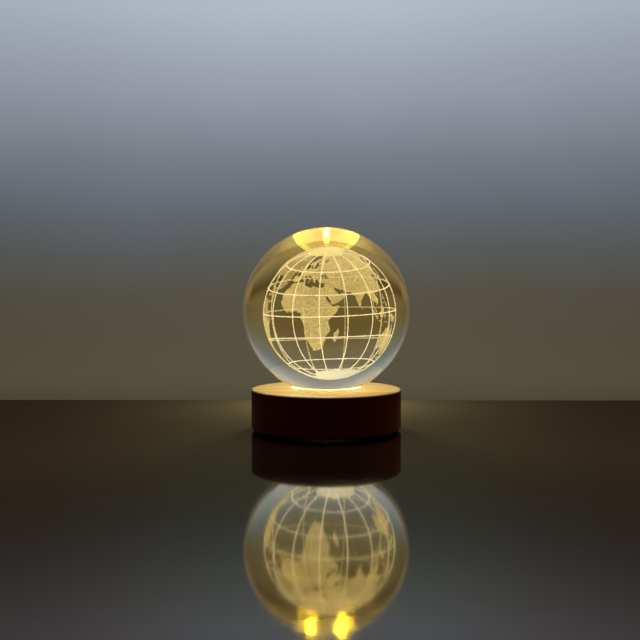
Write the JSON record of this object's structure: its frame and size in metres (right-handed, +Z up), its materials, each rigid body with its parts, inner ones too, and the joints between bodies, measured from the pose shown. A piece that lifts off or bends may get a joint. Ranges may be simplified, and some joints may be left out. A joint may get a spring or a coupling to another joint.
{
  "type": "crystal ball lamp",
  "caption": "Clear glass ball with an engraved globe inside, resting on a soft ring in a low round wooden base that lights it from below.",
  "frame": {"origin": "on the table, under the middle of the base", "axes": "+Z up along the axis of the ball and the base; the front is -Y and the inlet is at +Y"},
  "size_m": [0.08, 0.08, 0.0975],
  "materials": {
    "crystal": "polished optical glass, clear",
    "clear_silicone": "clear soft silicone, satin",
    "stained_wood": "turned wood, dark red-brown stained side with a clear varnished, lighter top face",
    "white_plastic": "moulded white plastic, satin",
    "black_plastic": "moulded black plastic, fine texture",
    "black_rubber": "soft matt rubber",
    "white_board": "white solder mask",
    "green_board": "green solder mask",
    "steel": "bright plated steel",
    "warm_led": "warm white LED package, lit",
    "resistor_body": "black chip resistor",
    "red_wire": "red wire insulation",
    "black_wire": "black wire insulation"
  },
  "bodies": {
    "base": {"wooden_base": "stained_wood", "lamp_cup": "white_plastic", "led_board": "white_board", "led_1": "warm_led", "led_2": "warm_led", "led_3": "warm_led", "resistor_1": "resistor_body", "resistor_2": "resistor_body", "board_screw_1": "steel", "board_screw_2": "steel", "cup_screw_1": "steel", "cup_screw_2": "steel", "cup_screw_3": "steel", "inlet_board": "green_board", "inlet_screw_1": "steel", "inlet_screw_2": "steel", "usb_socket_shell": "steel", "usb_socket_tongue": "black_plastic", "switch_body": "black_plastic", "wire_black": "black_wire", "wire_red_inlet": "red_wire", "wire_red_lamp": "red_wire", "bottom_cover": "black_plastic", "cover_screw_1": "steel", "cover_screw_2": "steel", "cover_screw_3": "steel", "foot_1": "black_rubber", "foot_2": "black_rubber", "foot_3": "black_rubber", "foot_4": "black_rubber"},
    "seat": {"seat_ring": "clear_silicone"},
    "ball": {"crystal_ball": "crystal"},
    "button": {"button_cap": "black_plastic", "switch_plunger": "white_plastic"}
  },
  "joints": [
    {"name": "ball_spin", "type": "hinge", "parent": "base", "child": "seat", "pos_m": [0, 0, 0.0575], "axis": [0, 0, 1], "continuous": true},
    {"name": "ball_lift", "type": "slide", "parent": "seat", "child": "ball", "axis": [0, 0, 1], "range_m": [0, 0.06]},
    {"name": "button_press", "type": "slide", "parent": "base", "child": "button", "axis": [-0.5, -0.866, 0], "range_m": [0, 0.0015], "stiffness_N_per_m": 400}
  ]
}
